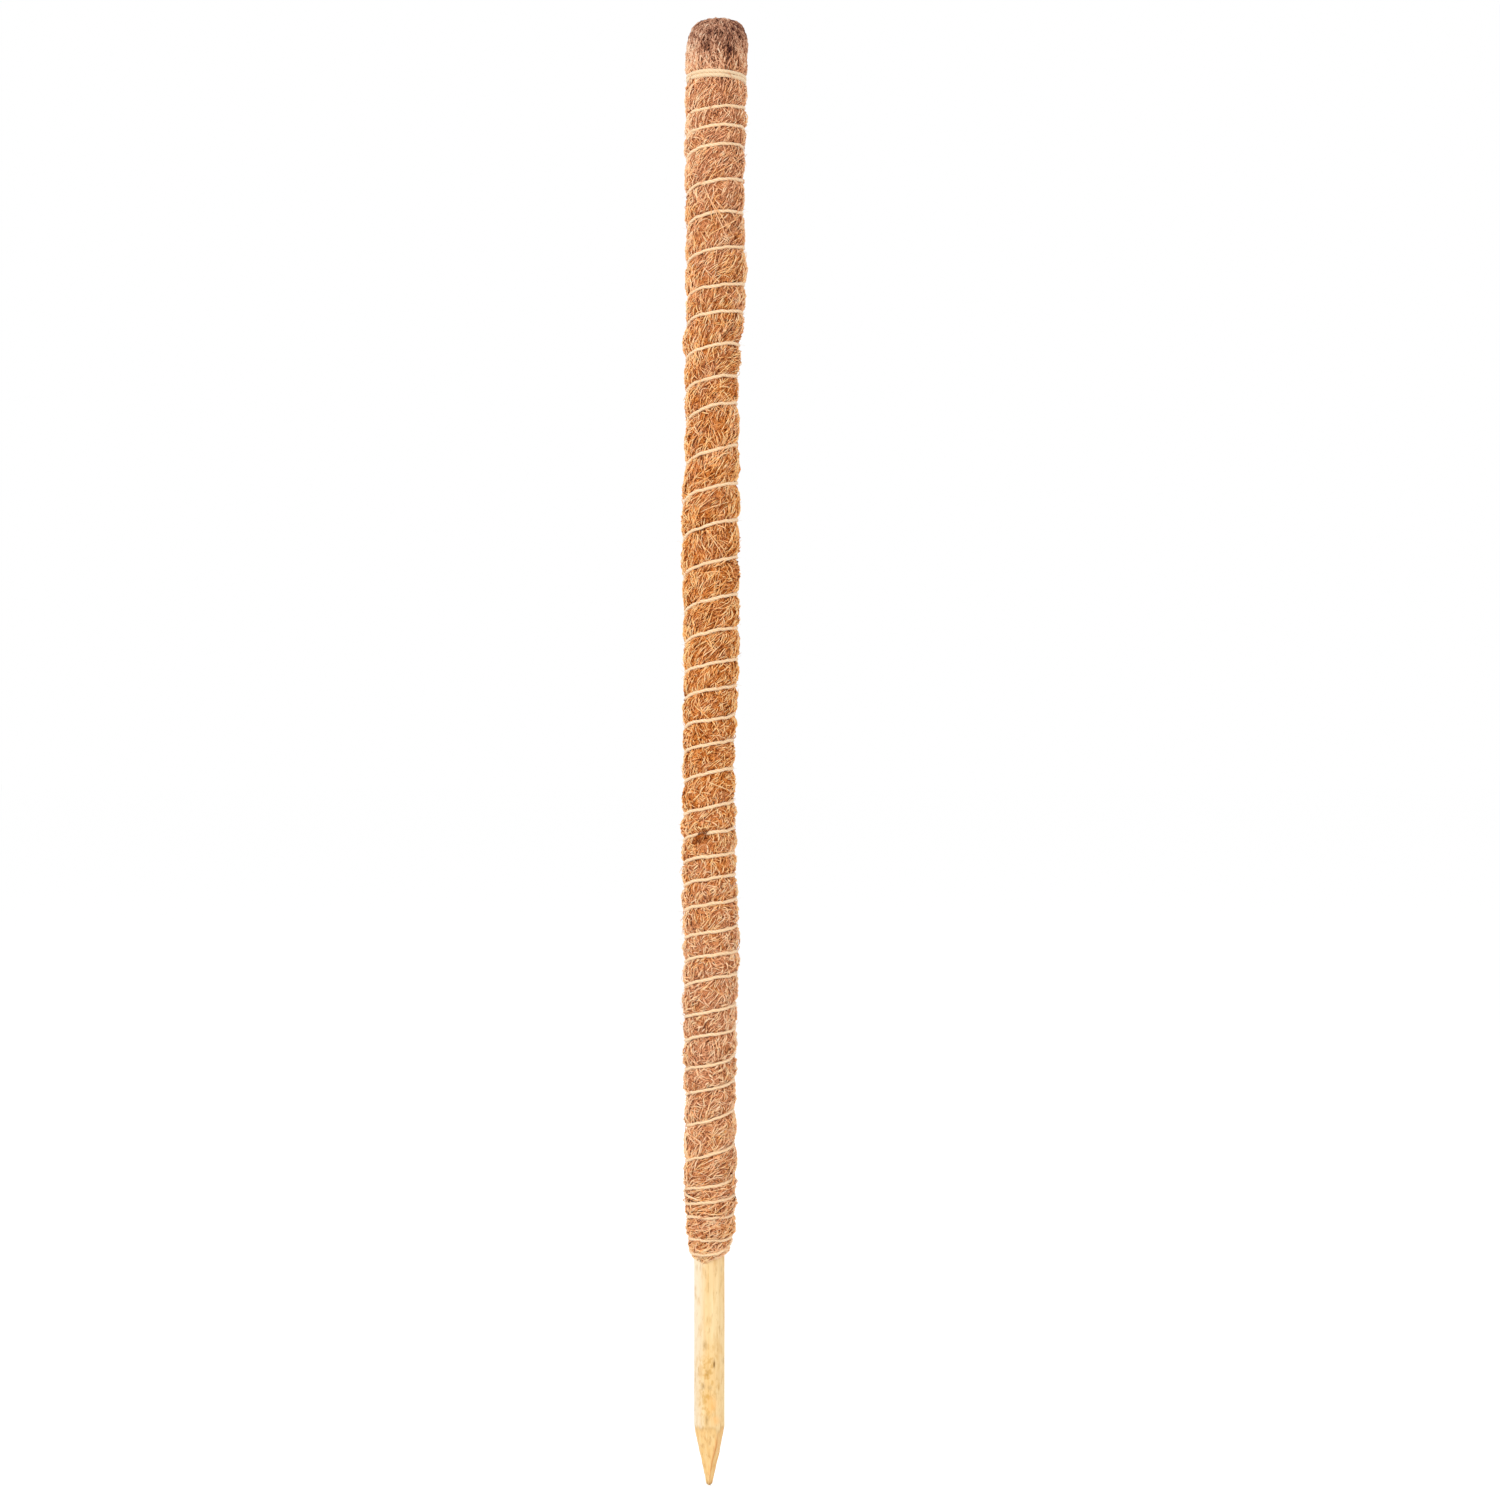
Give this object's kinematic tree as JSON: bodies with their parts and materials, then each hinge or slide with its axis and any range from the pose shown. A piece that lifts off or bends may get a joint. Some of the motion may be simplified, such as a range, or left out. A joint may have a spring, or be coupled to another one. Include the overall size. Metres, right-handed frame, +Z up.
{
  "type": "moss pole",
  "caption": "Coir moss pole for climbing plants: a pointed wooden stake in a domed coconut-fibre sleeve, bound with a spiral of cream twine.",
  "frame": {"origin": "on the stake's axis at the soil line, where the coir sleeve ends and the bare stake begins", "axes": "+Z up along the stake's axis, towards the domed top; -Y is the side that faces the viewer"},
  "size_m": [0.0251, 0.0273, 0.6],
  "materials": {
    "stake_wood": "bare pale wood, straight grain, knife-cut point",
    "coir": "matted coconut fibre, coarse and matt",
    "twine": "soft twisted cotton twine, undyed cream"
  },
  "bodies": {
    "root": {"wooden_stake": "stake_wood", "coir_sleeve": "coir", "coir_cap": "coir", "twine_upper": "twine", "twine_lower": "twine", "top_knot": "twine", "bottom_knot": "twine"}
  },
  "joints": []
}
